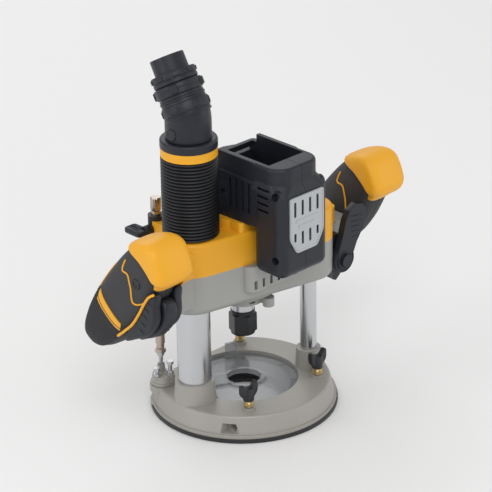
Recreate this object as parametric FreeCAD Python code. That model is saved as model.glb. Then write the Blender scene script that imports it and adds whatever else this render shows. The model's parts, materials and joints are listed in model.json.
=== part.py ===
import FreeCAD, Part
import math
import os

# Cordless plunge router, millimetres. Origin: spindle axis on the underside of the sub-base.
# +Z up, +X towards the right-hand handle, -Y towards the front grille.

V = FreeCAD.Vector

# ---- driving dimensions -------------------------------------------------------------
SUB_BASE_R = 85.0
SUB_BASE_T = 3.4
BASE_R = 82.5
BASE_TOP_R = 78.0
BASE_TOP = 23.0
BASE_LIP_R = 84.0
BASE_LIP_TOP = 7.0
BASE_FLAT_Y = 57.0
WINDOW_R = 42.0
COVER_SEAT_R = 49.5
COVER_SEAT_Z = 17.0
COVER_T = 3.0
COVER_HOLE_R = 15.5
TEMPLATE_HOLE_R = 31.0
BASE_SCREW_R = 66.0
BASE_SCREW_ANGLES = (20.0, 110.0, 200.0, 290.0)
BASE_SCREW_SHANK_R = 2.0
BASE_SCREW_HEAD_R = 4.0

COL_A = (-59.3, 0.8)
COL_A_R = 15.0
COL_A_BORE_R = 13.4
COL_A_BOSS_R = 20.0
COL_A_FOOT = 16.0
COL_A_TOP = 262.0
COL_B = (55.2, -27.8)
COL_B_R = 7.5
COL_B_BORE_R = 5.5
COL_B_BOSS_R = 12.4
COL_B_FOOT = 6.0
COL_B_TOP = 140.0
BOSS_TOP = 42.0
SEAT_GAP = 0.02
RUN_GAP = 0.05
PART_GAP = 0.3

ROD_Y = 49.0
ROD_Z = 12.0
ROD_BORE_R = 4.1
ROD_MOUTH_W = 13.0
ROD_MOUTH_H = 8.7
ROD_MOUTH_DEPTH_X = 60.0
THUMB_SPOTS = {"front_left": (-41.5, -49.0), "front_right": (45.0, -49.0), "rear_right": (42.5, 49.0)}
THUMB_STEM_R = 2.5
THUMB_STEM_FOOT = 17.0
THUMB_KNOB_Z = 32.0
THUMB_KNOB_H = 17.0
THUMB_WING = 9.5
THUMB_COLLAR_R = 6.0

TURRET = (-60.0, 42.6)
TURRET_R = 11.0
TURRET_Z = 23.3
TURRET_TOP = 32.0
TURRET_PITCH_R = 7.0
TURRET_STEPS = {"tall": (60.0, 50.2), "middle": (300.0, 45.5), "short": (180.0, 40.0)}
TURRET_PILLARS = {"tall": 38.0, "middle": 34.0, "short": 32.0}
TURRET_SCREW_R = 2.0

PLUNGE = 55.0
HEAD_BOTTOM = 115.0
CASTING_TOP = 153.0
SHOULDER_TOP = 184.0
CORE_TOP = 193.0
BOX_TOP = 252.0
HEAD_R_A = 27.5
HEAD_R_B = 22.0
MOTOR_R = 36.0
MOTOR_BORE_R = 27.5
SLEEVE_R = 13.0
SLEEVE_TOP = 202.0
BOX_HALF_X = 29.0
BOX_FRONT_Y = -80.0
BOX_BACK_Y = -43.0
BOX_BOTTOM = 152.0
REAR_BACK_Y = 33.0
SLOT_HALF_X = 21.0
SLOT_FRONT_Y = -57.0
SLOT_BACK_Y = 6.0
SLOT_FLOOR = 209.0
SEAM = 0.15

HANDLE_X = 130.0
GRIP_HALF_X = 18.0
CAP_HALF_X = 21.5
GUARD_HALF_X = 16.5
TRIGGER_HALF_X = 7.0
SHELL_T = 3.0

ROD_STOP = (-56.5, 48.7)
ROD_STOP_R = 4.3
ROD_STOP_FOOT = 50.8
ROD_STOP_TOP = 190.0
HOLDER_Z = (166.0, 186.0)
HOLDER_R = 7.4

BELLOWS_R = 24.9
BELLOWS_BORE_R = 20.0
BELLOWS_TOP = 258.0
RING_TOP = 266.0
CAP_TOP = 273.5
ELBOW_R = 20.2
ELBOW_BORE_R = 16.6
ELBOW_BEND_Z = 296.0
ELBOW_TILT = 30.0
SPOUT_LEN = 50.5
BUTTON_R = 5.6
BUTTON_DEPTH = 0.8
SPIGOT_H = 2.0
NECK_R = 19.6
BUTTON_Z = 280.6
SPOUT_R = 15.1
SPOUT_BORE_R = 13.4
LOCK_RING = (16.5, 26.0)
LOCK_RING_R = 21.2
LOCK_NECK_R = 18.4

NUT_AF = 22.0
NUT_BOTTOM = 68.0
NUT_TOP = 91.0
COLLET_BORE_R = 6.35
SPINDLE_R = 8.0

LEVER_PIVOT = (81.0, 127.0)
LOCK_BUTTON = ((31.0, 20.0, 120.0), (24.0, 14.5, 120.0))
LOCK_BUTTON_WAY = ((45.1, 31.1, 120.0), (20.9, 12.0, 120.0))
DIAL = (22.0, 204.0)
DIAL_R = 8.0


# ---- shape helpers ------------------------------------------------------------------
def cyl(r, z0, z1, at=(0.0, 0.0)):
    return Part.makeCylinder(r, z1 - z0, V(at[0], at[1], z0))


def tube(r_out, r_in, z0, z1, at=(0.0, 0.0)):
    return cyl(r_out, z0, z1, at).cut(cyl(r_in, z0 - 1, z1 + 1, at))


def cone(r0, r1, z0, z1, at=(0.0, 0.0)):
    return Part.makeCone(r0, r1, z1 - z0, V(at[0], at[1], z0))


def rod(r, start, end):
    direction = V(*end) - V(*start)
    return Part.makeCylinder(r, direction.Length, V(*start), direction)


def block(x0, x1, y0, y1, z0, z1):
    return Part.makeBox(x1 - x0, y1 - y0, z1 - z0, V(x0, y0, z0))


def prism_z(points, z0, z1):
    wire = Part.makePolygon([V(x, y, z0) for x, y in points + points[:1]])
    return Part.Face(wire).extrude(V(0, 0, z1 - z0))


def prism_x(points, x0, x1):
    wire = Part.makePolygon([V(x0, y, z) for y, z in points + points[:1]])
    return Part.Face(wire).extrude(V(x1 - x0, 0, 0))


def smooth_wire_x(points, x):
    curve = Part.BSplineCurve()
    curve.interpolate([V(x, y, z) for y, z in points], PeriodicFlag=True)
    return Part.Wire(curve.toShape())


def smooth_prism_x(points, x0, x1):
    return Part.Face(smooth_wire_x(points, x0)).extrude(V(x1 - x0, 0, 0))


def grown(points, factor):
    """The outline scaled about its middle."""
    cy = sum(p[0] for p in points) / len(points)
    cz = sum(p[1] for p in points) / len(points)
    return [(cy + (y - cy) * factor, cz + (z - cz) * factor) for y, z in points]


def crowned_x(points, x_mid, half, shrink):
    """The outline thickened along X, crowned so that its two side faces are rounded over."""
    wires = []
    steps = 9
    for i in range(steps):
        share = -1 + 2 * i / (steps - 1)
        factor = 1 - shrink * (1 - math.sqrt(1 - abs(share) ** 3 * 0.985))
        wires.append(smooth_wire_x(grown(points, factor), x_mid + half * share))
    return Part.makeLoft(wires, True, False)


def hexagon(across_flats, z0, z1, at=(0.0, 0.0)):
    radius = across_flats / math.sqrt(3.0)
    corners = []
    for i in range(6):
        turn = math.radians(60 * i + 10)
        corners.append((at[0] + radius * math.cos(turn), at[1] + radius * math.sin(turn)))
    return prism_z(corners, z0, z1)


def fuse(shapes):
    solid = shapes[0]
    for shape in shapes[1:]:
        solid = solid.fuse(shape)
    return solid.removeSplitter()


def vertical_edges(shape):
    edges = []
    for edge in shape.Edges:
        first, last = edge.firstVertex().Point, edge.lastVertex().Point
        if abs(first.x - last.x) < 1e-6 and abs(first.y - last.y) < 1e-6:
            edges.append(edge)
    return edges


def round_block(x0, x1, y0, y1, z0, z1, radius):
    solid = block(x0, x1, y0, y1, z0, z1)
    return solid.makeFillet(radius, vertical_edges(solid))


def edges_at_z(shape, z):
    return [e for e in shape.Edges if abs(e.BoundBox.ZMin - z) < 1e-3 and abs(e.BoundBox.ZMax - z) < 1e-3]


def edges_at_x(shape, x):
    return [e for e in shape.Edges if abs(e.BoundBox.XMin - x) < 1e-3 and abs(e.BoundBox.XMax - x) < 1e-3]


def soften(shape, edges, radius):
    """Round the edges, or leave them sharp where the kernel can't."""
    try:
        rounded = shape.makeFillet(radius, edges)
    except Exception:
        print("sharp edge kept, radius", radius)
        return shape
    return rounded if rounded.isValid() and rounded.Volume > 0 else shape


def link(radius_a, radius_b, z0, z1):
    """Solid over both columns: two rounds joined by their common tangents."""
    a, b = V(COL_A[0], COL_A[1], 0), V(COL_B[0], COL_B[1], 0)
    line = b - a
    heading = math.atan2(line.y, line.x)
    spread = math.acos((radius_a - radius_b) / line.Length)
    corners = []
    for side in (1, -1):
        turn = heading + side * spread
        normal = V(math.cos(turn), math.sin(turn), 0)
        pair = [a + normal * radius_a, b + normal * radius_b]
        corners += pair if side == 1 else pair[::-1]
    web = prism_z([(p.x, p.y) for p in corners], z0, z1)
    return fuse([web, cyl(radius_a, z0, z1, COL_A), cyl(radius_b, z0, z1, COL_B)])


def polar(radius, degrees, centre=(0.0, 0.0)):
    turn = math.radians(degrees)
    return (centre[0] + radius * math.cos(turn), centre[1] + radius * math.sin(turn))


def mirror_x(shape):
    return shape.mirror(V(0, 0, 0), V(1, 0, 0))


NODES = {}


def node(name, shape):
    NODES[name] = shape


# ---- base ---------------------------------------------------------------------------
def base_screw_spots():
    return [polar(BASE_SCREW_R, angle) for angle in BASE_SCREW_ANGLES]


def base_casting():
    lip = cyl(BASE_LIP_R, SUB_BASE_T, BASE_LIP_TOP)
    body = fuse([cone(BASE_R, BASE_TOP_R, BASE_LIP_TOP, BASE_TOP), lip])
    body = body.cut(block(-100, 100, BASE_FLAT_Y, 100, 0, BASE_TOP + 1))
    body = soften(body, edges_at_z(body, BASE_TOP), 2.5)
    bosses = [cone(COL_A_BOSS_R + 0.6, COL_A_BOSS_R - 2.4, SUB_BASE_T, BOSS_TOP, COL_A)]
    bosses.append(cone(COL_B_BOSS_R + 0.6, COL_B_BOSS_R - 1.2, SUB_BASE_T, BOSS_TOP, COL_B))
    bosses += [cyl(THUMB_COLLAR_R, BASE_TOP - 3, BASE_TOP + 2.5, spot) for spot in THUMB_SPOTS.values()]
    bosses.append(cyl(TURRET_R + 1, SUB_BASE_T, TURRET_Z - PART_GAP, TURRET))
    body = fuse([body] + bosses)
    body = body.cut(cyl(WINDOW_R, 0, BASE_TOP))
    body = body.cut(cyl(COVER_SEAT_R, COVER_SEAT_Z, BOSS_TOP + 1))
    body = body.cut(cyl(COL_A_R + SEAT_GAP, COL_A_FOOT, BOSS_TOP + 1, COL_A))
    body = body.cut(cyl(COL_B_R + SEAT_GAP, COL_B_FOOT, BOSS_TOP + 1, COL_B))
    dust_way = block(COL_A[0] - 9, -WINDOW_R + 3, COL_A[1] - 10, COL_A[1] + 10, SUB_BASE_T + 2.6,
                     COL_A_FOOT)
    body = body.cut(dust_way)
    for side in (-1, 1):
        bore = rod(ROD_BORE_R, (-90, side * ROD_Y, ROD_Z), (90, side * ROD_Y, ROD_Z))
        body = body.cut(bore)
        for end in (-1, 1):
            x0, x1 = sorted((end * ROD_MOUTH_DEPTH_X, end * 90))
            mouth = block(x0, x1, side * ROD_Y - ROD_MOUTH_W / 2, side * ROD_Y + ROD_MOUTH_W / 2,
                          ROD_Z - ROD_MOUTH_H / 2, ROD_Z + ROD_MOUTH_H / 2)
            body = body.cut(mouth)
    for spot in THUMB_SPOTS.values():
        body = body.cut(cyl(THUMB_STEM_R + PART_GAP, ROD_Z, BASE_TOP + 3, spot))
    for spot in base_screw_spots():
        body = body.cut(cyl(BASE_SCREW_SHANK_R + SEAT_GAP, 0, 12.0, spot))
    return body.cut(cyl(3.0 + PART_GAP, BASE_TOP - 8, BASE_TOP + 1, TURRET))


def sub_base_plate():
    plate = cyl(SUB_BASE_R, 0, SUB_BASE_T).cut(block(-100, 100, BASE_FLAT_Y + 1.5, 100, -1, SUB_BASE_T + 1))
    plate = plate.cut(cyl(TEMPLATE_HOLE_R, -1, SUB_BASE_T + 1))
    notch = polar(SUB_BASE_R + 0.6, -50.0)
    plate = plate.cut(cyl(2.0, -1, SUB_BASE_T + 1, notch))
    for spot in base_screw_spots():
        plate = plate.cut(cyl(BASE_SCREW_SHANK_R + SEAT_GAP, -1, SUB_BASE_T + 1, spot))
        plate = plate.cut(cone(BASE_SCREW_HEAD_R + 0.4, BASE_SCREW_SHANK_R, 0.0, 2.4, spot))
    return plate


def sub_base_screws():
    screws = []
    for spot in base_screw_spots():
        head = cone(BASE_SCREW_HEAD_R, BASE_SCREW_SHANK_R, 0.3, 2.4, spot)
        screw = fuse([head, cyl(BASE_SCREW_SHANK_R, 2.0, 11.5, spot)])
        screws.append(screw.cut(cyl(1.2, 0, 1.5, spot)))
    return Part.makeCompound(screws)


def dust_cover():
    top = COVER_SEAT_Z + COVER_T
    disc = cyl(COVER_SEAT_R - 0.2, COVER_SEAT_Z, top)
    rim = tube(COVER_HOLE_R + 3, COVER_HOLE_R, top - 1, top + 2)
    channel = round_block(-11, 11, -32, 32, top - 1, top + 2.5, 10.5)
    channel.rotate(V(0, 0, 0), V(0, 0, 1), 58)
    channel.translate(V(*polar(11.0, 148.0), 0))
    tab = round_block(-6, 6, -1.2, 1.2, top - 1, top + 16, 1.0)
    tab.rotate(V(0, 0, 0), V(0, 0, 1), -25)
    tab.translate(V(*polar(42.0, 62.0), 0))
    body = fuse([disc, rim, channel, tab])
    column_room = cyl(COL_A_BOSS_R + 0.6, 0, BOSS_TOP, COL_A)
    second_room = cyl(COL_B_BOSS_R + 0.6, 0, BOSS_TOP, COL_B)
    return body.cut(cyl(COVER_HOLE_R, 0, BOSS_TOP)).cut(column_room).cut(second_room)


def thumbscrew_knob(spot):
    z0, z1 = THUMB_KNOB_Z, THUMB_KNOB_Z + THUMB_KNOB_H
    hub = cyl(4.6, z0, z1 - 5, spot)
    outline = [(-5, 0), (5, 0), (THUMB_WING, 6), (THUMB_WING, THUMB_KNOB_H), (4.5, THUMB_KNOB_H - 3.5),
               (-4.5, THUMB_KNOB_H - 3.5), (-THUMB_WING, THUMB_KNOB_H), (-THUMB_WING, 6)]
    wire = Part.makePolygon([V(x, -2.6, z) for x, z in outline + outline[:1]])
    wing = Part.Face(wire).extrude(V(0, 5.2, 0))
    wing.rotate(V(0, 0, 0), V(0, 0, 1), -30)
    wing.translate(V(spot[0], spot[1], z0))
    knob = fuse([hub, wing])
    return knob.cut(cyl(THUMB_STEM_R, z0 - 1, z0 + 9, spot))


def thumbscrew_stem(spot):
    shaft = cyl(THUMB_STEM_R, THUMB_STEM_FOOT, THUMB_KNOB_Z + 9, spot)
    stem = fuse([shaft, cyl(4.0, THUMB_KNOB_Z - 2, THUMB_KNOB_Z, spot)])
    return stem


def turret_body():
    rim_top = TURRET_Z + 3
    rim = cyl(TURRET_R, TURRET_Z, rim_top, TURRET)
    bell = fuse([rim, cone(TURRET_R - 0.5, TURRET_R - 1.5, rim_top, TURRET_TOP, TURRET)])
    pivot = cyl(3.0, BASE_TOP - 7.5, TURRET_Z, TURRET)
    pillars = []
    for name, (angle, _top) in TURRET_STEPS.items():
        spot = polar(TURRET_PITCH_R, angle, TURRET)
        pillars.append(cone(4.4, 3.4, TURRET_TOP - 3, TURRET_PILLARS[name], spot))
    body = fuse([bell, pivot] + pillars)
    for name, (angle, _top) in TURRET_STEPS.items():
        spot = polar(TURRET_PITCH_R, angle, TURRET)
        body = body.cut(cyl(TURRET_SCREW_R + SEAT_GAP * 2, TURRET_Z + 2, TURRET_PILLARS[name] + 1, spot))
    return body


def turret_screw(angle, top):
    spot = polar(TURRET_PITCH_R, angle, TURRET)
    shank = cyl(TURRET_SCREW_R, TURRET_Z + 2.5, top - 3, spot)
    return fuse([shank, hexagon(5.6, top - 3, top, spot)])


def turret_nuts():
    nuts = []
    for name, (angle, _top) in TURRET_STEPS.items():
        spot = polar(TURRET_PITCH_R, angle, TURRET)
        seat = TURRET_PILLARS[name]
        nut = hexagon(5.6, seat, seat + 2.5, spot)
        nuts.append(nut.cut(cyl(TURRET_SCREW_R + RUN_GAP, seat - 1, seat + 4, spot)))
    return Part.makeCompound(nuts)


# ---- columns and dust path ----------------------------------------------------------
def dust_column():
    return tube(COL_A_R, COL_A_BORE_R, COL_A_FOOT, COL_A_TOP, COL_A)


def guide_column():
    body = cyl(COL_B_R, COL_B_FOOT, COL_B_TOP, COL_B)
    return body.cut(cyl(COL_B_BORE_R, 20.0, COL_B_TOP + 1, COL_B))


def return_spring():
    return tube(4.6, 3.4, 20.0, SLEEVE_TOP - 4, COL_B)


def bellows():
    pitch = (BELLOWS_TOP - SHOULDER_TOP - 0.6) / 24.0
    profile = [V(BELLOWS_BORE_R, 0, SHOULDER_TOP + 0.3)]
    for i in range(24):
        z = SHOULDER_TOP + 0.3 + i * pitch
        profile += [V(BELLOWS_R - 2.4, 0, z), V(BELLOWS_R, 0, z + pitch * 0.5)]
    profile += [V(BELLOWS_R - 2.4, 0, BELLOWS_TOP - 0.3), V(BELLOWS_BORE_R, 0, BELLOWS_TOP - 0.3)]
    face = Part.Face(Part.makePolygon(profile + profile[:1]))
    sleeve = face.revolve(V(0, 0, 0), V(0, 0, 1), 360)
    sleeve.translate(V(COL_A[0], COL_A[1], 0))
    return sleeve


def bellows_ring():
    return tube(BELLOWS_R - 0.2, COL_A_R + SEAT_GAP, BELLOWS_TOP, RING_TOP - 6, COL_A).fuse(
        tube(BELLOWS_R - 0.2, BELLOWS_BORE_R, RING_TOP - 6, RING_TOP, COL_A)).removeSplitter()


def column_cap():
    flange = cyl(25.0, RING_TOP, CAP_TOP, COL_A)
    flange = soften(flange, edges_at_z(flange, CAP_TOP), 2.0)
    plug = cyl(BELLOWS_BORE_R - SEAT_GAP, RING_TOP - 5.9, RING_TOP, COL_A)
    spigot = cyl(ELBOW_BORE_R - PART_GAP, CAP_TOP - 1, CAP_TOP + SPIGOT_H, COL_A)
    body = fuse([flange, plug, spigot])
    body = body.cut(cyl(COL_A_R + SEAT_GAP, RING_TOP - 7, COL_A_TOP + 0.1, COL_A))
    return body.cut(cyl(COL_A_BORE_R, COL_A_TOP - 1, CAP_TOP + 10, COL_A))


def spout_axis():
    tilt = math.radians(ELBOW_TILT)
    return V(0, math.sin(tilt), math.cos(tilt))


def along_spout(r, t0, t1):
    bend = V(COL_A[0], COL_A[1], ELBOW_BEND_Z)
    return Part.makeCylinder(r, t1 - t0, bend + spout_axis() * t0, spout_axis())


def dust_elbow():
    bend = V(COL_A[0], COL_A[1], ELBOW_BEND_Z)
    upright = cyl(ELBOW_R, CAP_TOP + PART_GAP, ELBOW_BEND_Z, COL_A)
    knee = Part.makeSphere(ELBOW_R, bend)
    neck_low, neck_high = LOCK_RING[0] - PART_GAP, LOCK_RING[1] + PART_GAP
    steps = [(ELBOW_R + 0.8, -2, 9), (NECK_R, 9, neck_low), (LOCK_NECK_R, neck_low, neck_high),
             (NECK_R, neck_high, 36.5), (SPOUT_R, 36.5, SPOUT_LEN)]
    outer = fuse([upright, knee] + [along_spout(r, t0, t1) for r, t0, t1 in steps])
    seat = cyl(ELBOW_BORE_R, CAP_TOP - 1, CAP_TOP + SPIGOT_H + 1, COL_A)
    upright_bore = cyl(SPOUT_BORE_R, CAP_TOP, ELBOW_BEND_Z, COL_A)
    spout_bore = along_spout(SPOUT_BORE_R, 0, SPOUT_LEN + 1)
    inner = fuse([seat, upright_bore, Part.makeSphere(SPOUT_BORE_R, bend), spout_bore])
    wall_x = COL_A[0] - ELBOW_R
    button_way = rod(BUTTON_R + PART_GAP, (wall_x - 3, COL_A[1], BUTTON_Z), (wall_x + 3, COL_A[1], BUTTON_Z))
    return outer.cut(inner).cut(button_way)


def elbow_button():
    y, z = COL_A[1], BUTTON_Z
    wall_x = COL_A[0] - ELBOW_R
    return rod(BUTTON_R, (wall_x - BUTTON_DEPTH, y, z), (wall_x + BUTTON_DEPTH, y, z))


def locking_collar():
    t0, t1 = LOCK_RING
    ring = along_spout(LOCK_RING_R, t0, t1).cut(along_spout(LOCK_NECK_R + PART_GAP, t0 - 1, t1 + 1))
    lugs = []
    for angle in (40.0, 220.0):
        lug = block(-2.2, 2.2, LOCK_RING_R - 1.2, LOCK_RING_R + 1.8, t0 + 1, t1 - 1)
        lug.rotate(V(0, 0, 0), V(0, 0, 1), angle)
        lug.rotate(V(0, 0, 0), V(1, 0, 0), -ELBOW_TILT)
        lug.translate(V(COL_A[0], COL_A[1], ELBOW_BEND_Z))
        lugs.append(lug)
    return fuse([ring] + lugs)


# ---- head ---------------------------------------------------------------------------
def column_ways(body):
    body = body.cut(cyl(COL_A_R + 1.5, 0, 300, COL_A))
    return body.cut(cyl(COL_B_R + 1.0, 0, SLEEVE_TOP - 4, COL_B))


def arm_blocks(z0, z1, left_reach, right_reach, radius):
    left = round_block(-left_reach, COL_A[0], -20, 14, z0, z1, radius)
    right = round_block(COL_B[0], right_reach, -26, 8, z0, min(z1, 168), radius)
    return [left, right]


def head_casting():
    shell = link(HEAD_R_A, HEAD_R_B, HEAD_BOTTOM, CASTING_TOP)
    shell = soften(shell, edges_at_z(shell, HEAD_BOTTOM), 8.0)
    skirt = round_block(-30, 30, -42, 0, 126, CASTING_TOP, 9)
    skirt = soften(skirt, edges_at_z(skirt, 126), 4.0)
    bowl = cone(30, MOTOR_R, 112, 128).fuse(cyl(MOTOR_R, 128, CASTING_TOP))
    nose = cyl(22, 108, 116)
    body = fuse([shell, skirt, bowl, nose] + arm_blocks(125, CASTING_TOP, 111, 111, 8))
    body = body.cut(cyl(MOTOR_BORE_R, 124, CASTING_TOP + 1)).cut(cyl(13.02, 108, 125))
    body = body.cut(cyl(10, 100, 109))
    for i in range(6):
        x = -23 + i * 9.2
        body = body.cut(round_block(x - 1.5, x + 1.5, -45, -26, 131, 139, 1.2))
    body = body.cut(cyl(COL_A_R + 2.5, HEAD_BOTTOM, 148, COL_A))
    body = body.cut(cyl(COL_B_R + 2.5, HEAD_BOTTOM, 136, COL_B))
    body = body.cut(rod(4.3, LOCK_BUTTON_WAY[0], LOCK_BUTTON_WAY[1]))
    x, z = LEVER_PIVOT
    body = body.cut(rod(10.5, (x, -60, z), (x, -40.6, z)))
    return column_ways(body)


def column_bushings():
    big = tube(COL_A_R + 2.5 - SEAT_GAP, COL_A_R + RUN_GAP, HEAD_BOTTOM + 1, 147.9, COL_A)
    small = tube(COL_B_R + 2.5 - SEAT_GAP, COL_B_R + RUN_GAP, HEAD_BOTTOM + 1, 135.9, COL_B)
    return Part.makeCompound([big, small])


def motor_housing():
    shell = link(HEAD_R_A, HEAD_R_B, CASTING_TOP, SHOULDER_TOP)
    shell = soften(shell, edges_at_z(shell, SHOULDER_TOP), 3.0)
    core = round_block(-31, 31, -32, 0, CASTING_TOP, CORE_TOP, 4).fuse(cyl(MOTOR_R, CASTING_TOP, CORE_TOP))
    sleeve = cyl(SLEEVE_R, CASTING_TOP, SLEEVE_TOP, COL_B)
    sleeve = soften(sleeve, edges_at_z(sleeve, SLEEVE_TOP), 3.0)
    holder_arm = block(ROD_STOP[0] - 7, ROD_STOP[0] + 7, 18, ROD_STOP[1], HOLDER_Z[0] + 2, HOLDER_Z[1] - 4)
    body = fuse([shell, core, sleeve, holder_arm] + arm_blocks(CASTING_TOP, 177, 104, 96, 8))
    body = body.cut(cyl(MOTOR_BORE_R, CASTING_TOP - 1, CORE_TOP + 1))
    body = body.cut(cyl(BELLOWS_R + 1.0, SHOULDER_TOP, CORE_TOP + 1, COL_A))
    body = body.cut(cyl(HOLDER_R + SEAT_GAP, 160, 200, ROD_STOP))
    body = body.cut(rod(4.8, (ROD_STOP[0] - 20, ROD_STOP[1], 174), (ROD_STOP[0], ROD_STOP[1], 174)))
    return column_ways(body)


def rear_plan(grow=0.0):
    right = [(27 - grow, BOX_BACK_Y - 4), (29 - grow, 14), (20 - grow, 29), (9 - grow, REAR_BACK_Y - grow)]
    return right + [(-x, y) for x, y in reversed(right)]


def round_plan(half_x, front_y, radius, z0, z1):
    """The housing's plan with rounded front corners: a face at z0, or a solid up to z1."""
    back = BOX_BACK_Y
    bulge = radius * (1 - math.sqrt(0.5))
    a, b = V(-half_x, back, z0), V(-half_x, front_y + radius, z0)
    c, d = V(-half_x + radius, front_y, z0), V(half_x - radius, front_y, z0)
    e, f = V(half_x, front_y + radius, z0), V(half_x, back, z0)
    left = Part.Arc(b, V(-half_x + bulge, front_y + bulge, z0), c).toShape()
    right = Part.Arc(d, V(half_x - bulge, front_y + bulge, z0), e).toShape()
    front, rear = Part.makeLine(c, d), Part.makeLine(f, a)
    wire = Part.Wire([Part.makeLine(a, b), left, front, right, Part.makeLine(e, f), rear])
    face = Part.Face(wire)
    return face.extrude(V(0, 0, z1 - z0)) if z1 else face


def battery_housing():
    front = round_block(-BOX_HALF_X, BOX_HALF_X, BOX_FRONT_Y, BOX_BACK_Y, BOX_BOTTOM, 229, 9)
    front = soften(front, edges_at_z(front, BOX_BOTTOM), 8.0)
    top = round_plan(26.0, BOX_FRONT_Y + 4.5, 15.5, 237, BOX_TOP)
    top = soften(top, edges_at_z(top, BOX_TOP), 3.0)
    shoulder = Part.makeLoft([round_plan(29.0, BOX_FRONT_Y, 9.0, 229, 0).Wires[0],
                              round_plan(26.0, BOX_FRONT_Y + 4.5, 15.5, 237, 0).Wires[0]], True, True)
    front = fuse([front, shoulder, top])
    rear = prism_z(rear_plan(), CORE_TOP, 236)
    rear = soften(rear, edges_at_z(rear, 236), 4.0)
    rails = round_block(-26, 26, BOX_BACK_Y - 4, 10, 230, BOX_TOP, 4)
    rails = soften(rails, edges_at_z(rails, BOX_TOP), 1.5)
    throat = block(-14, 14, BOX_BACK_Y - 4, -32.1, BOX_BOTTOM + 8, CORE_TOP + 2)
    body = fuse([front, rear, rails, throat])
    slot = block(-SLOT_HALF_X, SLOT_HALF_X, SLOT_FRONT_Y, SLOT_BACK_Y, SLOT_FLOOR, BOX_TOP + 1)
    rear_gap = block(-SLOT_HALF_X, SLOT_HALF_X, SLOT_BACK_Y - 1, 20, 237, 240)
    rear_gap = rear_gap.fuse(block(-60, 60, 1, 20, 245, BOX_TOP + 1))
    room_x = BOX_HALF_X - 3.5
    front_room = block(-room_x, room_x, BOX_FRONT_Y + 3, SLOT_FRONT_Y - 3, BOX_BOTTOM + 3, 227)
    board_room = block(-11, 11, SLOT_FRONT_Y - 4, -36, BOX_BOTTOM + 12, SLOT_FLOOR - 4)
    body = body.cut(slot).cut(rear_gap).cut(front_room).cut(board_room)
    for z in (229.0, 170.0):
        body = body.fuse(rod(5.2, (-27, -71.5, z), (27, -71.5, z)))
    body = body.cut(cyl(MOTOR_BORE_R, CORE_TOP - 1, 199))
    body = body.cut(cyl(11.02, 198, SLOT_FLOOR - 3))
    body = body.cut(cyl(COL_A_R + 11.5, 0, 300, COL_A))
    window = block(-17, 17, BOX_FRONT_Y - 1, BOX_FRONT_Y + 4, 188, 223)
    body = body.cut(window).cut(dial_room())
    body = body.cut(link(HEAD_R_A + PART_GAP, HEAD_R_B + PART_GAP, 140, SHOULDER_TOP + 0.1))
    body = body.cut(cyl(MOTOR_R + 0.1, 140, CORE_TOP)).cut(block(-31.1, 31.1, -32.1, 0, 140, CORE_TOP))
    for side in (-1, 1):
        for y, z in ((-71.5, 229.0), (-71.5, 170.0), (-8.0, 215.0), (12.0, 200.0)):
            x0 = side * 31
            body = body.cut(rod(3.6, (x0, y, z), (side * 19.5, y, z)))
            body = body.cut(rod(1.9, (x0, y, z), (side * 2, y, z)))
        for i in range(4):
            z = 211.5 + i * 6.4
            x0, x1 = sorted((side * 25, side * 31))
            body = body.cut(block(x0, x1, -64, -50, z, z + 2))
        for i in range(4):
            y = -40 + i * 7.5
            x0, x1 = sorted((side * 25.5, side * 31))
            body = body.cut(block(x0, x1, y, y + 2.6, 204, 232))
    return body


def housing_half(side):
    x0, x1 = sorted((side * SEAM, side * 60))
    return battery_housing().common(block(x0, x1, -100, 100, 100, 300))


def housing_screws():
    screws = []
    for side in (-1, 1):
        for y, z in ((-71.5, 229.0), (-71.5, 170.0), (-8.0, 215.0), (12.0, 200.0)):
            head = rod(3.5, (side * 22.4, y, z), (side * 19.6, y, z))
            shank = rod(1.8, (side * 19.6, y, z), (side * 3, y, z))
            screw = fuse([head, shank])
            screws.append(screw.cut(rod(1.3, (side * 23, y, z), (side * 20.9, y, z))))
    return Part.makeCompound(screws[:2] + screws[4:6])


def grille_outline(half_x, top, bottom):
    waist = bottom + 14
    right = [(half_x, top), (half_x, waist), (half_x - 8, bottom)]
    return right + [(-x, z) for x, z in reversed(right)]


def grille_plate():
    outline = grille_outline(20.5, 227.5, 175.0)
    wire = Part.makePolygon([V(x, BOX_FRONT_Y - 1.6, z) for x, z in outline + outline[:1]])
    plate = Part.Face(wire).extrude(V(0, 1.6 - SEAT_GAP, 0))
    for i in range(4):
        x = -14.2 + i * 9.0
        plate = plate.cut(block(x - 1.2, x + 1.2, BOX_FRONT_Y - 3, BOX_FRONT_Y + 1, 209, 223))
        foot = 182 if 0 < i < 3 else 186
        plate = plate.cut(block(x - 1.2, x + 1.2, BOX_FRONT_Y - 3, BOX_FRONT_Y + 1, foot, 194))
    return plate


def terminal_block():
    body = round_block(-18, 18, SLOT_FRONT_Y + 0.2, SLOT_FRONT_Y + 12, SLOT_FLOOR + 0.1, 236, 2.0)
    for i in range(4):
        x = -12 + i * 8
        body = body.cut(block(x - 1, x + 1, SLOT_FRONT_Y + 5, SLOT_FRONT_Y + 13, SLOT_FLOOR + 5, 237))
    return body


def controller_board():
    plate = block(-22, 22, -74.5, -72.5, 178, 222)
    choke = block(-12, -4, -72.5, -66, 180, 200)
    capacitor = cyl(5, 180, 200, (8, -67.6))
    return fuse([plate, choke, capacitor, block(-16, 16, -72.5, -69, 206, 214)])


# ---- motor and spindle --------------------------------------------------------------
def stator():
    ring = tube(MOTOR_BORE_R - SEAT_GAP, 21.5, 152, 190)
    teeth = []
    for i in range(9):
        tooth = block(14.3, 22.5, -2.2, 2.2, 154, 188)
        tooth.rotate(V(0, 0, 0), V(0, 0, 1), 40 * i)
        teeth.append(tooth)
    return fuse([ring] + teeth)


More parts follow.
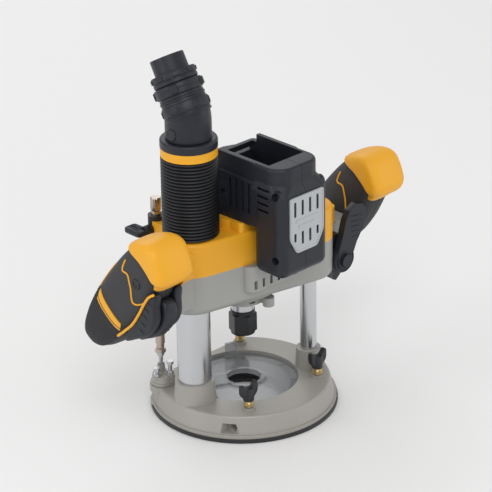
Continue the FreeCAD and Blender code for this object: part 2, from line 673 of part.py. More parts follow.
def stator_windings():
    coils = []
    for i in range(9):
        coil = block(15.3, 20.8, -4.2, 4.2, 150.4, 191.6).cut(block(14, 23, -2.25, 2.25, 153.9, 188.1))
        coil.rotate(V(0, 0, 0), V(0, 0, 1), 40 * i)
        coils.append(coil)
    return Part.makeCompound(coils)


def spindle_shaft():
    lower = cyl(SPINDLE_R, 92, 118).fuse(cyl(6.0, 118, 150))
    upper = cyl(5.0, 150, 197).fuse(cyl(3.5, 197, 204))
    collar = cyl(10.5, NUT_TOP + 0.4, 97.5)
    socket = cyl(7.4, 90, 106)
    return fuse([lower, upper, collar]).cut(socket)


def rotor_core():
    return tube(13.4, 5.0 + SEAT_GAP, 154, 188)


def cooling_fan():
    hub = tube(9.0, 6.0 + SEAT_GAP, 128, 142)
    disc = tube(23.0, 8.5, 140.5, 142)
    blades = []
    for i in range(9):
        blade = block(8.6, 22.5, -0.8, 0.8, 130, 141)
        blade.rotate(V(0, 0, 0), V(0, 0, 1), 40 * i)
        blades.append(blade)
    return fuse([hub, disc] + blades)


def collet():
    body = cyl(7.2, 82, 104).cut(cyl(COLLET_BORE_R, 80, 106))
    for angle in (0, 90):
        slit = block(-9, 9, -0.4, 0.4, 81, 96)
        slit.rotate(V(0, 0, 0), V(0, 0, 1), angle + 20)
        body = body.cut(slit)
    return body


def collet_nut():
    nut = hexagon(NUT_AF, NUT_BOTTOM + 2, NUT_TOP - 4).fuse(cyl(NUT_AF / 2, NUT_BOTTOM, NUT_TOP))
    return nut.removeSplitter().cut(cyl(7.0, 60, 81)).cut(cyl(7.4, 80, 100))


def bearing(r_out, r_in, z0, z1):
    outer = tube(r_out, r_out - 2.2, z0, z1)
    inner = tube(r_in + 1.8, r_in, z0, z1)
    shield = tube(r_out - 1.2, r_in + 1.0, z0 + 0.5, z1 - 0.5)
    return fuse([outer, inner, shield])


def spindle_bearings():
    lower = bearing(13.0, 6.0 + SEAT_GAP, 118.2, 124)
    upper = bearing(11.0, 3.5 + SEAT_GAP, 199.5, 205.4)
    return Part.makeCompound([lower, upper])


def bearing_retainer():
    ring = cyl(20, 101.5, 107.9).cut(cyl(11.2, 100, 109))
    lug = cyl(5.2, 99.5, 107.9, (8.0, -25.0))
    web = block(2.5, 13.5, -25.0, -14.0, 102.5, 107.9)
    body = fuse([ring, lug, web])
    body = body.cut(block(-9, -3, -22, -17.2, 103.5, 105.7))
    return body


# ---- handles ------------------------------------------------------------------------
GRIP_SIDE = [(-20, 208), (-6, 197), (8, 182.5), (20, 168), (31, 153), (42, 134), (49.5, 115), (50.5, 105),
             (45.5, 97), (35, 92.5), (20, 97), (6, 106), (-7, 115.5), (-20, 128), (-32, 144), (-40, 158),
             (-46, 172), (-48, 184), (-44, 195), (-34, 203)]
CAP_SIDE = [(-14, 206), (-25, 212.5), (-38, 215.5), (-49, 213), (-53.5, 206), (-58.5, 196), (-60, 185),
            (-55, 176), (-48, 170), (-38, 180), (-26, 195)]
GUARD_SIDE = [(-6, 113), (-21, 119.5), (-33, 125.5), (-41.5, 134), (-46.5, 145), (-46.5, 158), (-47, 169),
              (-36, 165), (-24, 145), (-10, 127)]
TRIGGER_SIDE = [(-14, 114), (-24, 117.5), (-36, 124), (-45, 134), (-50, 146), (-49, 157), (-41, 160),
                (-33, 147), (-22, 131)]
TRIGGER_TRAVEL = 4.0
TRIGGER_WAY = (0.0, 0.78, 0.626)


def grip_solid():
    x0, x1 = -HANDLE_X - GRIP_HALF_X, -HANDLE_X + GRIP_HALF_X
    body = crowned_x(GRIP_SIDE, -HANDLE_X, GRIP_HALF_X, 0.5)
    cap_room = smooth_prism_x(CAP_SIDE, x0 - 5, x1 + 5)
    return body.cut(cap_room)


def grip_shell():
    inner = crowned_x(grown(GRIP_SIDE, 0.86), -HANDLE_X, GRIP_HALF_X - SHELL_T, 0.5)
    cap_wall = smooth_prism_x(grown(CAP_SIDE, 1.08), -HANDLE_X - 30, -HANDLE_X + 30)
    return grip_solid().cut(inner.cut(cap_wall))


def handle_cap():
    body = crowned_x(CAP_SIDE, -HANDLE_X, CAP_HALF_X, 0.55)
    hollow = crowned_x(grown(CAP_SIDE, 0.72), -HANDLE_X, CAP_HALF_X - 2 * SHELL_T, 0.5)
    return body.cut(hollow)


def handle_half(inner_half):
    lo, hi = (-HANDLE_X + SEAM, -100) if inner_half else (-160, -HANDLE_X - SEAM)
    return grip_shell().common(block(lo, hi, -100, 100, 60, 240))


def trigger_solid(grow):
    half = TRIGGER_HALF_X + grow
    return smooth_prism_x(TRIGGER_SIDE, -HANDLE_X - half, -HANDLE_X + half)


def trigger_way():
    """Room that the trigger sweeps, with clearance."""
    room = []
    steps = 5
    for i in range(steps):
        shape = smooth_prism_x(grown(TRIGGER_SIDE, 1.06), -HANDLE_X - TRIGGER_HALF_X - PART_GAP,
                               -HANDLE_X + TRIGGER_HALF_X + PART_GAP)
        shift = V(*TRIGGER_WAY) * (TRIGGER_TRAVEL * i / (steps - 1))
        shape.translate(shift)
        room.append(shape)
    return room


def left_handle_guard():
    body = crowned_x(GUARD_SIDE, -HANDLE_X, GUARD_HALF_X, 0.35).cut(grip_solid())
    body = body.cut(handle_cap())
    for room in trigger_way():
        body = body.cut(room)
    return body.cut(lock_off_room())


def left_handle_half(inner_half):
    body = handle_half(inner_half)
    for room in trigger_way():
        body = body.cut(room)
    return body.cut(lock_off_room())


def switch_module():
    return round_block(-140, -120, -3, 17, 122, 150, 3)


def trigger():
    return trigger_solid(0.0)


def lock_off_room():
    return block(-118.5, -100, -34.4, -23.6, 131.6, 142.4)


def lock_off_button():
    body = round_block(-115.5, -105, -34, -24, 132, 142, 2.5)
    return body


# ---- controls -----------------------------------------------------------------------
def lock_lever():
    x, z = LEVER_PIVOT
    hub = rod(9.0, (x, -50, z), (x, -41, z))
    outline = [(73, 131), (89, 130), (99, 146), (109, 162), (109, 172), (98, 178), (84, 171), (78, 152)]
    wire = Part.makePolygon([V(x, -49, z) for x, z in outline + outline[:1]])
    arm = Part.Face(wire).extrude(V(0, 7, 0))
    return fuse([hub, arm]).cut(rod(4.05, (x, -60, z), (x, -30, z)))


def lever_bracket():
    x, z = LEVER_PIVOT
    outline = [(58, 150), (57, 116.5), (78, 105), (88, 113), (94, 118), (94, 140), (82, 150)]
    wire = Part.makePolygon([V(x, -40.4, z) for x, z in outline + outline[:1]])
    body = Part.Face(wire).extrude(V(0, 14, 0))
    pin = rod(4.0, (x, -51.5, z), (x, -38, z))
    head = rod(6.0, (x, -52.4, z), (x, -50.4, z))
    body = fuse([body, pin, head])
    return body.cut(link(HEAD_R_A + 0.1, HEAD_R_B + 0.1, 100, 200)).cut(cyl(COL_B_R + 2, 90, 130, COL_B))


def depth_rod():
    body = cyl(ROD_STOP_R, ROD_STOP_FOOT + 9, ROD_STOP_TOP, ROD_STOP)
    neck = cyl(3.6, ROD_STOP_FOOT + 3, ROD_STOP_FOOT + 10, ROD_STOP)
    foot = cyl(5.0, ROD_STOP_FOOT, ROD_STOP_FOOT + 4, ROD_STOP)
    return fuse([body, neck, foot])


def depth_rod_knob():
    knob = cyl(4.9, ROD_STOP_TOP + PART_GAP, ROD_STOP_TOP + 12.5, ROD_STOP)
    return soften(knob, edges_at_z(knob, ROD_STOP_TOP + 12.5), 1.0)


def rod_holder():
    body = tube(HOLDER_R, ROD_STOP_R + RUN_GAP, HOLDER_Z[0], HOLDER_Z[1], ROD_STOP)
    boss = rod(4.5, (ROD_STOP[0] - 5, ROD_STOP[1], 174), (ROD_STOP[0] - 10, ROD_STOP[1], 174))
    body = body.fuse(boss).removeSplitter()
    body = body.cut(cyl(ROD_STOP_R + RUN_GAP, 160, 190, ROD_STOP))
    return body.cut(rod(2.05, (ROD_STOP[0] - 20, ROD_STOP[1], 174), (ROD_STOP[0] - 4.5, ROD_STOP[1], 174)))


def clamp_paddle():
    x, y, z = ROD_STOP[0], ROD_STOP[1], 174.0
    stud = rod(2.0, (x - 12, y, z), (x - 4.8, y, z))
    hub = rod(4.5, (x - 15, y, z), (x - 10.4, y, z))
    wing = round_block(x - 24, x - 10.6, y - 4, y + 17, z - 3, z + 2, 4.0)
    return fuse([stud, hub, wing])


def spindle_lock_button():
    return rod(4.0, LOCK_BUTTON[0], LOCK_BUTTON[1])


def dial_shape(grow):
    x, z = DIAL
    axle = rod(2.0 + grow, (x, 17 - grow, z), (x, 26 + grow, z))
    wheel = rod(DIAL_R + grow, (x, 20 - grow, z), (x, 25 + grow, z))
    return fuse([axle, wheel])


def dial_room():
    return dial_shape(PART_GAP)


def speed_dial():
    return dial_shape(0.0)


# ---- assembly -----------------------------------------------------------------------
def build():
    node("base_casting", base_casting())
    node("sub_base_plate", sub_base_plate())
    node("sub_base_screws", sub_base_screws())
    node("dust_cover", dust_cover())
    for name, spot in THUMB_SPOTS.items():
        node("thumbscrew_knob_" + name, thumbscrew_knob(spot))
        node("thumbscrew_stem_" + name, thumbscrew_stem(spot))
    node("turret_body", turret_body())
    node("turret_nuts", turret_nuts())
    for name, (angle, top) in TURRET_STEPS.items():
        node("turret_screw_" + name, turret_screw(angle, top))
    node("dust_column", dust_column())
    node("guide_column", guide_column())
    node("return_spring", return_spring())
    node("bellows", bellows())
    node("bellows_ring", bellows_ring())
    node("column_cap", column_cap())
    node("dust_elbow", dust_elbow())
    node("elbow_button", elbow_button())
    node("locking_collar", locking_collar())
    node("head_casting", head_casting())
    node("column_bushings", column_bushings())
    node("motor_housing", motor_housing())
    node("battery_housing_left", housing_half(-1))
    node("battery_housing_right", housing_half(1))
    node("housing_screws", housing_screws())
    node("grille_plate", grille_plate())
    node("terminal_block", terminal_block())
    node("controller_board", controller_board())
    node("stator", stator())
    node("stator_windings", stator_windings())
    node("spindle_shaft", spindle_shaft())
    node("rotor_core", rotor_core())
    node("cooling_fan", cooling_fan())
    node("collet", collet())
    node("collet_nut", collet_nut())
    node("spindle_bearings", spindle_bearings())
    node("bearing_retainer", bearing_retainer())
    node("left_handle_outer", left_handle_half(False))
    node("left_handle_inner", left_handle_half(True))
    node("left_handle_cap", handle_cap())
    node("left_handle_guard", left_handle_guard())
    node("right_handle_outer", mirror_x(handle_half(False)))
    node("right_handle_inner", mirror_x(handle_half(True)))
    node("right_handle_cap", mirror_x(handle_cap()))
    node("switch_module", switch_module())
    node("trigger", trigger())
    node("lock_off_button", lock_off_button())
    node("lever_bracket", lever_bracket())
    node("lock_lever", lock_lever())
    node("depth_rod", depth_rod())
    node("depth_rod_knob", depth_rod_knob())
    node("rod_holder", rod_holder())
    node("clamp_paddle", clamp_paddle())
    node("spindle_lock_button", spindle_lock_button())
    node("speed_dial", speed_dial())


build()
os.makedirs("parts", exist_ok=True)
for name, shape in NODES.items():
    shape.exportStep("parts/" + name + ".step")
    print(name, "valid" if shape.isValid() else "INVALID", len(shape.Solids), round(shape.Volume))
print(len(NODES), "nodes")
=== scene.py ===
import json
import math

import bmesh
import bpy
from mathutils import Matrix, Vector
from mathutils.geometry import tessellate_polygon


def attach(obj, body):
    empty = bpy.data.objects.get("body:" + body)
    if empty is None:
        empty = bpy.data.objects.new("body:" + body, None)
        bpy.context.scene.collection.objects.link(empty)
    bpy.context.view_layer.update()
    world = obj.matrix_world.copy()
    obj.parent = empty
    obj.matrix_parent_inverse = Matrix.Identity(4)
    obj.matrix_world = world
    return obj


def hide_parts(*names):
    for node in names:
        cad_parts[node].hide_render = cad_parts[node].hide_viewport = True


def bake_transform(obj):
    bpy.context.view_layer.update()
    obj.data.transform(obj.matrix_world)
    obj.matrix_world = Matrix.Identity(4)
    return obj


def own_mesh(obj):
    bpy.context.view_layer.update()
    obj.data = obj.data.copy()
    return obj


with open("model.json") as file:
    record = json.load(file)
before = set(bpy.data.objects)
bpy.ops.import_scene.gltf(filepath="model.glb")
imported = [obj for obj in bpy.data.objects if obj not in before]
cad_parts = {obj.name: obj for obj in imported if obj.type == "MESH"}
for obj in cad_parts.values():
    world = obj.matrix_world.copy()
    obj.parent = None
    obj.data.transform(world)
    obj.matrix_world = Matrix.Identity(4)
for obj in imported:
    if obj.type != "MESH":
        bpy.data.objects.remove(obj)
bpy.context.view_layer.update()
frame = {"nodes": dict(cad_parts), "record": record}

# Lengths in the helpers below are millimetres; MM turns them into scene units.
MM = 0.001
SKIN = 96
HANDLE_X = 130.0
COLUMN_A = (-59.3, 0.8)
COLUMN_B = (55.2, -27.8)
DEPTH_ROD = (-56.5, 48.7)
LEVER_PIVOT = (81.0, 127.0)
BEND_Z = 296.0
TILT = math.radians(30.0)
MATERIALS = {}


# ---- camera, light and floor --------------------------------------------------------
def aim_camera():
    lens = bpy.data.cameras.new("view")
    lens.sensor_width = 36.0
    lens.lens = 182.9
    lens.clip_end = 50.0
    eye = bpy.data.objects.new("view", lens)
    bpy.context.collection.objects.link(eye)
    turn = Matrix.Rotation(math.radians(-43.8), 4, "Z") @ Matrix.Rotation(math.radians(65.2), 4, "X")
    roll = Matrix.Rotation(-0.0164, 4, "Z")
    eye.matrix_world = Matrix.Translation((-1.3852, -1.4501, 1.0784)) @ turn @ roll
    bpy.context.scene.camera = eye


def soft_box(name, place, target, width, height, power, tint=(1.0, 1.0, 1.0)):
    lamp = bpy.data.lights.new(name, "AREA")
    lamp.shape = "RECTANGLE"
    lamp.size = width
    lamp.size_y = height
    lamp.energy = power
    lamp.color = tint
    holder = bpy.data.objects.new(name, lamp)
    bpy.context.collection.objects.link(holder)
    holder.location = place
    holder.rotation_euler = (Vector(target) - Vector(place)).to_track_quat("-Z", "Y").to_euler()


def light_studio():
    centre = (0.0, 0.0, 0.15)
    soft_box("key", (-1.1, -1.3, 1.9), centre, 1.2, 1.2, 17.0)
    soft_box("left_fill", (-2.0, 0.6, 0.9), centre, 0.9, 1.6, 8.0)
    soft_box("right_fill", (1.5, -1.6, 0.7), centre, 1.0, 1.4, 5.0)
    soft_box("back_rim", (0.8, 1.6, 1.5), centre, 1.4, 1.0, 8.0)
    world = bpy.data.worlds.new("studio")
    world.use_nodes = True
    world.node_tree.nodes["Background"].inputs["Color"].default_value = (1.0, 1.0, 1.0, 1.0)
    world.node_tree.nodes["Background"].inputs["Strength"].default_value = 0.62
    bpy.context.scene.world = world
    bpy.context.scene.view_settings.view_transform = "Standard"


def lay_floor():
    edge = 6.0
    corners = [(-edge, -edge, -0.0006), (edge, -edge, -0.0006), (edge, edge, -0.0006),
               (-edge, edge, -0.0006)]
    mesh = bpy.data.meshes.new("floor")
    mesh.from_pydata(corners, [], [(0, 1, 2, 3)])
    floor = bpy.data.objects.new("floor", mesh)
    bpy.context.collection.objects.link(floor)
    paint = bpy.data.materials.new("floor_paper")
    paint.use_nodes = True
    skin = paint.node_tree.nodes["Principled BSDF"]
    skin.inputs["Base Color"].default_value = (0.9, 0.9, 0.9, 1.0)
    skin.inputs["Roughness"].default_value = 0.9
    mesh.materials.append(paint)


# ---- materials ----------------------------------------------------------------------
def finish_of(slot, colour, rough, metal=0.0, grain=0.0, grain_size=900.0, sheen=0.5, clear=0.0,
              brushed=None):
    paint = bpy.data.materials.new(slot)
    paint.use_nodes = True
    tree = paint.node_tree
    skin = tree.nodes["Principled BSDF"]
    skin.inputs["Base Color"].default_value = (*colour, 1.0)
    skin.inputs["Roughness"].default_value = rough
    skin.inputs["Metallic"].default_value = metal
    skin.inputs["Specular IOR Level"].default_value = sheen
    if clear:
        skin.inputs["Alpha"].default_value = clear
        skin.inputs["IOR"].default_value = 1.5
    if grain:
        place = tree.nodes.new("ShaderNodeTexCoord")
        noise = tree.nodes.new("ShaderNodeTexNoise")
        noise.inputs["Scale"].default_value = grain_size
        noise.inputs["Detail"].default_value = 3.0
        relief = tree.nodes.new("ShaderNodeBump")
        relief.inputs["Strength"].default_value = grain
        relief.inputs["Distance"].default_value = 0.0004
        if brushed:
            stretch = tree.nodes.new("ShaderNodeMapping")
            stretch.inputs["Scale"].default_value = brushed
            tree.links.new(place.outputs["Object"], stretch.inputs["Vector"])
            tree.links.new(stretch.outputs["Vector"], noise.inputs["Vector"])
        else:
            tree.links.new(place.outputs["Object"], noise.inputs["Vector"])
        tree.links.new(noise.outputs["Fac"], relief.inputs["Height"])
        tree.links.new(relief.outputs["Normal"], skin.inputs["Normal"])
    MATERIALS[slot] = paint


def mix_materials():
    finish_of("base_grey", (0.37, 0.355, 0.325), 0.42, 0.15, grain=0.25, grain_size=1200.0)
    finish_of("head_grey", (0.36, 0.36, 0.345), 0.45, 0.15, grain=0.25, grain_size=1200.0)
    finish_of("black_plate", (0.018, 0.018, 0.02), 0.4, grain=0.1)
    finish_of("zinc", (0.52, 0.53, 0.55), 0.34, 1.0)
    finish_of("clear", (0.30, 0.32, 0.335), 0.1, sheen=0.7, clear=0.42)
    finish_of("brass", (0.66, 0.50, 0.25), 0.3, 1.0)
    finish_of("knob_black", (0.016, 0.017, 0.02), 0.45, grain=0.15, grain_size=2000.0)
    finish_of("chrome_rod", (0.60, 0.61, 0.63), 0.27, 1.0, grain=0.10, grain_size=900.0,
              brushed=(1.0, 1.0, 0.02))
    finish_of("bellows_rubber", (0.010, 0.011, 0.014), 0.42, grain=0.1)
    finish_of("yellow", (0.86, 0.41, 0.018), 0.42, grain=0.12, grain_size=2200.0, sheen=0.4)
    finish_of("housing_black", (0.013, 0.0155, 0.023), 0.4, grain=0.25, grain_size=2400.0, sheen=0.4)
    finish_of("overmould", (0.040, 0.040, 0.044), 0.6, grain=0.4, grain_size=2600.0, sheen=0.35)
    finish_of("silver_grille", (0.50, 0.52, 0.54), 0.34, 0.75, grain=0.1, grain_size=700.0)
    finish_of("board_green", (0.02, 0.16, 0.07), 0.4)
    finish_of("lamination", (0.32, 0.33, 0.35), 0.4, 1.0, grain=0.4, brushed=(0.02, 0.02, 4.0))
    finish_of("copper", (0.72, 0.32, 0.14), 0.35, 1.0)
    finish_of("bearing_steel", (0.55, 0.56, 0.58), 0.25, 1.0, grain=0.05, brushed=(1.0, 1.0, 0.05))
    finish_of("spring_steel", (0.4, 0.41, 0.43), 0.35, 1.0)
    finish_of("bronze", (0.5, 0.33, 0.16), 0.4, 1.0)
    finish_of("dark_steel", (0.03, 0.031, 0.034), 0.3, 0.7)
    finish_of("bronze_rod", (0.50, 0.43, 0.37), 0.3, 1.0)


def paint_frame():
    for part in frame["record"]["subparts"]:
        solid = frame["nodes"][part["node"]]
        solid.data.materials.clear()
        solid.data.materials.append(MATERIALS[part["material_slot"]])


# ---- mesh helpers -------------------------------------------------------------------
def piece(name, points, faces, slot, body, instead_of=(), smooth=True, bevel=0.0, keep_sharp=40.0):
    mesh = bpy.data.meshes.new(name)
    mesh.from_pydata([(x * MM, y * MM, z * MM) for x, y, z in points], [], faces)
    shell = bmesh.new()
    shell.from_mesh(mesh)
    bmesh.ops.remove_doubles(shell, verts=shell.verts, dist=0.00001)
    bmesh.ops.recalc_face_normals(shell, faces=shell.faces)
    shell.to_mesh(mesh)
    shell.free()
    mesh.materials.append(MATERIALS[slot])
    thing = bpy.data.objects.new(name, mesh)
    bpy.context.collection.objects.link(thing)
    if bevel:
        rounding = thing.modifiers.new("rounding", "BEVEL")
        rounding.width = bevel * MM
        rounding.segments = 3
        rounding.limit_method = "ANGLE"
        rounding.angle_limit = math.radians(30.0)
    if smooth:
        for polygon in mesh.polygons:
            polygon.use_smooth = True
        mesh.set_sharp_from_angle(angle=math.radians(keep_sharp))
    if body:
        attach(thing, body)
    if instead_of:
        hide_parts(*instead_of)
    return thing


def loft(loops, closed_ends=True):
    """Skin over a list of closed loops that all have the same number of points."""
    count = len(loops[0])
    points = [point for loop in loops for point in loop]
    faces = []
    for i in range(len(loops) - 1):
        for j in range(count):
            k = (j + 1) % count
            faces.append((i * count + j, i * count + k, (i + 1) * count + k, (i + 1) * count + j))
    if closed_ends:
        faces.append(tuple(range(count)))
        faces.append(tuple((len(loops) - 1) * count + j for j in range(count)))
    return points, faces


def turned(profile, origin=(0.0, 0.0, 0.0), axis=(0.0, 0.0, 1.0), steps=SKIN, closed=True):
    """Lathe work from (radius, distance along the axis) rows, closed into a ring when it has a bore."""
    axis = Vector(axis).normalized()
    side = axis.orthogonal().normalized()
    other = axis.cross(side)
    origin = Vector(origin)
    loops = []
    for radius, along in profile:
        loop = []
        for i in range(steps):
            turn = 2 * math.pi * i / steps
            loop.append(origin + axis * along + (side * math.cos(turn) + other * math.sin(turn)) * radius)
        loops.append(loop)
    if closed:
        loops.append(loops[0])
        return loft(loops, closed_ends=False)
    return loft(loops)


def swept(path, radius, steps=12, flat=1.0, shut=False, taper=True):
    """A round bead along a path; flat squeezes it along its second axis."""
    path = [Vector(p) for p in path]
    loops = []
    side = None
    for i, spot in enumerate(path):
        ahead = path[(i + 1) % len(path)] if shut else path[min(i + 1, len(path) - 1)]
        behind = path[i - 1] if shut else path[max(i - 1, 0)]
        along = (ahead - behind).normalized()
        side = (along.orthogonal() if side is None else side - along * side.dot(along)).normalized()
        other = along.cross(side)
        size = radius * (0.55 if taper and not shut and i in (0, len(path) - 1) else 1.0)
        loops.append([spot + (side * math.cos(2 * math.pi * j / steps) * size)
                      + (other * math.sin(2 * math.pi * j / steps) * size * flat) for j in range(steps)])
    if shut:
        loops.append(loops[0])
        return loft(loops, closed_ends=False)
    return loft(loops)


def joined(*shapes):
    points, faces = [], []
    for some_points, some_faces in shapes:
        first = len(points)
        points += [tuple(p) for p in some_points]
        faces += [tuple(first + i for i in face) for face in some_faces]
    return points, faces


def smooth_line(points, steps=6, shut=False):
    """Catmull-Rom curve through the points."""
    points = [Vector(p) for p in points]
    count = len(points)
    out = []
    for i in range(count if shut else count - 1):
        if shut:
            a, b, c, d = (points[(i + k - 1) % count] for k in range(4))
        else:
            a, b, c, d = (points[min(max(i + k - 1, 0), count - 1)] for k in range(4))
        for j in range(steps):
            t = j / steps
            out.append(0.5 * (2 * b + (c - a) * t + (2 * a - 5 * b + 4 * c - d) * t * t
                              + (3 * b - a - 3 * c + d) * t ** 3))
    if not shut:
        out.append(points[-1])
    return out


def slab(outline, lay, depth):
    """A flat outline given thickness. lay turns (u, v, w) into a point."""
    front = [lay(u, v, 0.0) for u, v in outline]
    back = [lay(u, v, depth) for u, v in outline]
    return loft([front, back])


def pierced(outline, holes, lay, depth):
    """A flat outline with holes right through it, given thickness."""
    rings = [[Vector((u, v, 0.0)) for u, v in ring] for ring in [outline] + holes]
    flat = [p for ring in rings for p in ring]
    points = [lay(p.x, p.y, 0.0) for p in flat] + [lay(p.x, p.y, depth) for p in flat]
    faces = []
    for triangle in tessellate_polygon(rings):
        faces.append(tuple(triangle))
        faces.append(tuple(len(flat) + k for k in reversed(triangle)))
    first = 0
    for ring in rings:
        for i in range(len(ring)):
            a, b = first + i, first + (i + 1) % len(ring)
            faces.append((a, b, len(flat) + b, len(flat) + a))
        first += len(ring)
    return points, faces


def rounded(corners, radius, steps=6):
    """A polygon with its corners rounded."""
    out = []
    for i, corner in enumerate(corners):
        corner = Vector(corner)
        before = (Vector(corners[i - 1]) - corner).normalized() * radius
        after = (Vector(corners[(i + 1) % len(corners)]) - corner).normalized() * radius
        for k in range(steps + 1):
            t = k / steps
            out.append(tuple((corner + before).lerp(corner, t).lerp(corner.lerp(corner + after, t), t)))
    return out


def pillow(outline, middle, half, squareness, crown=1.0, slices=15):
    """A side outline in (y, z) thickened along X and rounded over towards both faces."""
    cy = sum(p[0] for p in outline) / len(outline)
    cz = sum(p[1] for p in outline) / len(outline)
    curve = smooth_line([(y, z, 0.0) for y, z in outline], 5, shut=True)
    loops = []
    for i in range(slices):
        angle = math.pi * (i / (slices - 1) - 0.5)
        across = math.copysign(abs(math.sin(angle)) ** (2.0 / squareness), angle)
        inset = 1 - crown * (1 - max(math.cos(angle), 0.0) ** (2.0 / squareness))
        inset = max(inset, 0.02)
        loops.append([(middle + half * across, cy + (p.x - cy) * inset, cz + (p.y - cz) * inset)
                      for p in curve])
    return loft(loops)


def mirrored(shape):
    points, faces = shape
    return [(-x, y, z) for x, y, z in points], faces


# ---- handles ------------------------------------------------------------------------
# Grip stations from tip to top: back edge (y, z), front edge (y, z), half width.
GRIP = [((46.5, 100.0), (42.5, 97.0), 5.0), ((49.5, 105.5), (36.0, 93.8), 13.5),
        ((50.3, 113.0), (24.0, 95.0), 16.5), ((46.5, 124.5), (13.0, 101.0), 17.5),
        ((40.5, 137.0), (2.0, 109.0), 18.0), ((31.0, 153.0), (-9.0, 118.5), 18.0),
        ((20.0, 168.0), (-21.0, 130.0), 18.0), ((8.0, 182.5), (-32.0, 144.5), 18.0),
        ((-6.0, 197.0), (-40.0, 158.5), 18.0), ((-20.0, 207.0), (-46.0, 173.0), 17.5),
        ((-31.0, 209.0), (-47.5, 186.0), 13.0)]


def grip_section(s):
    """Back edge, front edge and half width at share s of the way up the grip."""
    place = min(max(s, 0.0), 1.0) * (len(GRIP) - 1)
    i = min(int(place), len(GRIP) - 2)
    t = place - i
    rows = [GRIP[min(max(i + k, 0), len(GRIP) - 1)] for k in (-1, 0, 1, 2)]
    flat = [(*row[0], *row[1], row[2]) for row in rows]
    out = []
    for a, b, c, d in zip(*flat):
        out.append(0.5 * (2 * b + (c - a) * t + (2 * a - 5 * b + 4 * c - d) * t * t
                          + (3 * b - a - 3 * c + d) * t ** 3))
    return Vector((out[0], out[1])), Vector((out[2], out[3])), out[4]


def grip_point(s, turn, lift=0.0):
    """A point of the left grip's skin. turn is 0 at the back edge, 90 outside, 180 at the front edge."""
    back, front, half = grip_section(s)
    middle = (back + front) / 2
    reach = (back - front).length / 2
    way = (back - front).normalized()
    angle = math.radians(turn)
    power = 2.0 / 2.7
    u = math.copysign(abs(math.cos(angle)) ** power, math.cos(angle)) * (reach + lift)
    v = math.copysign(abs(math.sin(angle)) ** power, math.sin(angle)) * (half + lift)
    return Vector((-HANDLE_X - v, middle.x + way.x * u, middle.y + way.y * u))


def grip_half(outer):
    stations, around = 44, 24
    start = 0.0 if outer else 180.0
    gap = 0.35
    loops = []
    for i in range(stations + 1):
        s = i / stations
        loop = [grip_point(s, start + 180.0 * j / around) for j in range(around + 1)]
        seam = -HANDLE_X - gap if outer else -HANDLE_X + gap
        pick = min if outer else max
        loops.append([(pick(p.x, seam), p.y, p.z) for p in loop])
    return loft(loops)


def skin_line(stops, lift, steps=8):
    """Points on the grip's skin along a smooth line of (share, turn) stops."""
    curve = smooth_line([(s * 100.0, turn, 0.0) for s, turn in stops], steps)
    return [grip_point(p.x / 100.0, p.y, lift) for p in curve]


def skin_patch(corners, lift, nu=10, nv=4):
    """A plate lying on the skin between four (share, turn) corners."""
    (a, b, c, d) = [Vector((s * 100.0, turn)) for s, turn in corners]
    top, low = [], []
    for i in range(nu + 1):
        for j in range(nv + 1):
            p = a.lerp(b, i / nu).lerp(d.lerp(c, i / nu), j / nv)
            top.append(grip_point(p.x / 100.0, p.y, lift))
            low.append(grip_point(p.x / 100.0, p.y, -0.6))
    points = top + low
    faces = []
    first = len(top)
    for i in range(nu):
        for j in range(nv):
            k = i * (nv + 1) + j
            faces.append((k, k + 1, k + nv + 2, k + nv + 1))
            faces.append((first + k, first + k + nv + 1, first + k + nv + 2, first + k + 1))
    for i in range(nu):
        for j in (0, nv):
            k = i * (nv + 1) + j
            faces.append((k, k + nv + 1, first + k + nv + 1, first + k))
    for j in range(nv):
        for i in (0, nu):
            k = i * (nv + 1) + j
            faces.append((k, k + 1, first + k + 1, first + k))
    return points, faces


CAP = [(-14.0, 206.0), (-25.0, 212.5), (-38.0, 215.0), (-47.5, 212.5), (-53.5, 205.0), (-58.5, 194.0),
       (-60.5, 185.5), (-57.0, 178.5), (-49.0, 178.0), (-41.0, 186.0), (-28.0, 197.0)]
NECK = [(-40.0, 186.0), (-52.0, 186.0), (-51.0, 177.5), (-47.5, 171.5), (-42.0, 170.5), (-36.5, 173.0),
        (-35.0, 179.0)]


def cap_shape():
    return joined(pillow(CAP, -HANDLE_X, 20.5, 3.6, 0.62, 23), pillow(NECK, -HANDLE_X, 13.0, 3.0, 0.5, 13))


def ribs_shape():
    beads = []
    for i in range(17):
        s = 0.165 + i * 0.0205
        stops = [(s + 0.012, 28.0), (s - 0.002, 55.0), (s - 0.008, 85.0), (s - 0.004, 115.0),
                 (s + 0.010, 142.0)]
        beads.append(swept(skin_line(stops, 0.05, 5), 0.95, 8))
    return joined(*beads)


def accent_shape():
    line = [(0.80, 52.0), (0.755, 66.0), (0.775, 84.0), (0.70, 108.0), (0.74, 128.0), (0.80, 138.0)]
    outer = swept(skin_line(line, 0.1, 8), 0.8, 10)
    inner = swept(skin_line([(s, 360.0 - turn) for s, turn in line], 0.1, 8), 0.8, 10)
    return joined(outer, inner)


def build_handles():
    for side, turn_over in (("left", lambda shape: shape), ("right", mirrored)):
        piece(side + "_grip_outer", *turn_over(grip_half(True)), "overmould", "head",
              (side + "_handle_outer",))
        piece(side + "_grip_inner", *turn_over(grip_half(False)), "overmould", "head",
              (side + "_handle_inner",))
        piece(side + "_cap", *turn_over(cap_shape()), "yellow", "head", (side + "_handle_cap",),
              keep_sharp=50.0)
        piece(side + "_grip_ribs", *turn_over(ribs_shape()), "overmould", "head")
        piece(side + "_grip_accent", *turn_over(accent_shape()), "yellow", "head")


